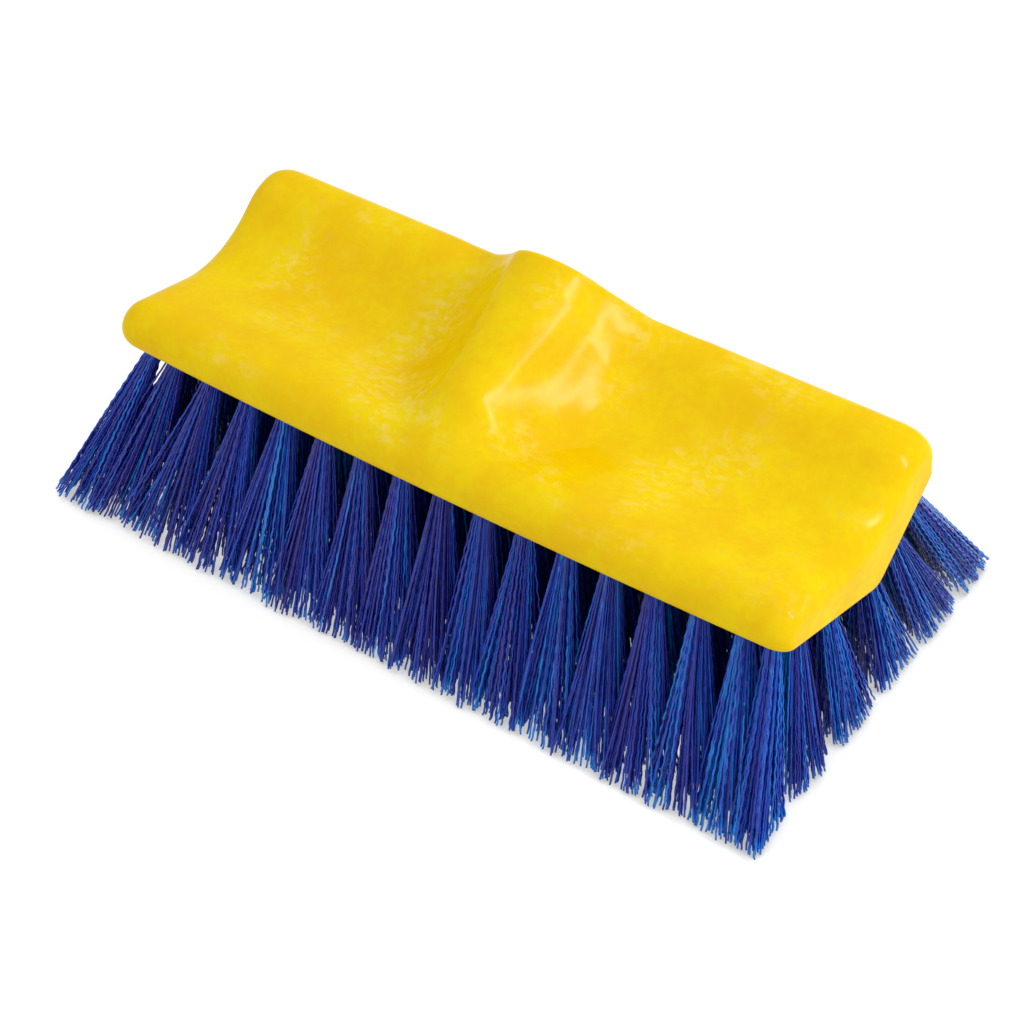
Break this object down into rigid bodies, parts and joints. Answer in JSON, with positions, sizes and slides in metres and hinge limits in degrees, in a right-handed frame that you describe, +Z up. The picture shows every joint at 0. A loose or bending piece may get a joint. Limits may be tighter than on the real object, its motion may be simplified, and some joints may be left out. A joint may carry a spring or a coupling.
{
  "type": "floor scrub brush head",
  "caption": "Two-level floor scrub brush head: a moulded block with a raised angled handle socket over fanned rows of stiff bristle tufts.",
  "frame": {"origin": "on the floor under the centre of the bounding box, at the level of the bristle tips", "axes": "+X along the block's length, -Y towards the low near side, +Y towards the high far side where the handle goes in, +Z up"},
  "size_m": [0.2838, 0.1526, 0.1197],
  "materials": {
    "block_plastic": "yellow moulded structural-foam plastic, satin gloss with faint pale scuffs and a fine grain",
    "bristle_fibre": "deep blue crimped polypropylene filament with soft highlights"
  },
  "bodies": {
    "root": {"block": "block_plastic", "far_inner_tufts_01": "bristle_fibre", "far_inner_tufts_02": "bristle_fibre", "far_inner_tufts_03": "bristle_fibre", "far_inner_tufts_04": "bristle_fibre", "far_inner_tufts_05": "bristle_fibre", "far_inner_tufts_06": "bristle_fibre", "far_inner_tufts_07": "bristle_fibre", "far_inner_tufts_08": "bristle_fibre", "far_middle_tufts_01": "bristle_fibre", "far_middle_tufts_02": "bristle_fibre", "far_middle_tufts_03": "bristle_fibre", "far_middle_tufts_04": "bristle_fibre", "far_middle_tufts_05": "bristle_fibre", "far_middle_tufts_06": "bristle_fibre", "far_middle_tufts_07": "bristle_fibre", "far_middle_tufts_08": "bristle_fibre", "far_outer_tufts_01": "bristle_fibre", "far_outer_tufts_02": "bristle_fibre", "far_outer_tufts_03": "bristle_fibre", "far_outer_tufts_04": "bristle_fibre", "far_outer_tufts_05": "bristle_fibre", "far_outer_tufts_06": "bristle_fibre", "far_outer_tufts_07": "bristle_fibre", "far_outer_tufts_08": "bristle_fibre", "near_inner_tufts_01": "bristle_fibre", "near_inner_tufts_02": "bristle_fibre", "near_inner_tufts_03": "bristle_fibre", "near_inner_tufts_04": "bristle_fibre", "near_inner_tufts_05": "bristle_fibre", "near_inner_tufts_06": "bristle_fibre", "near_inner_tufts_07": "bristle_fibre", "near_inner_tufts_08": "bristle_fibre", "near_middle_tufts_01": "bristle_fibre", "near_middle_tufts_02": "bristle_fibre", "near_middle_tufts_03": "bristle_fibre", "near_middle_tufts_04": "bristle_fibre", "near_middle_tufts_05": "bristle_fibre", "near_middle_tufts_06": "bristle_fibre", "near_middle_tufts_07": "bristle_fibre", "near_middle_tufts_08": "bristle_fibre", "near_outer_tufts_01": "bristle_fibre", "near_outer_tufts_02": "bristle_fibre", "near_outer_tufts_03": "bristle_fibre", "near_outer_tufts_04": "bristle_fibre", "near_outer_tufts_05": "bristle_fibre", "near_outer_tufts_06": "bristle_fibre", "near_outer_tufts_07": "bristle_fibre", "near_outer_tufts_08": "bristle_fibre"}
  },
  "joints": []
}
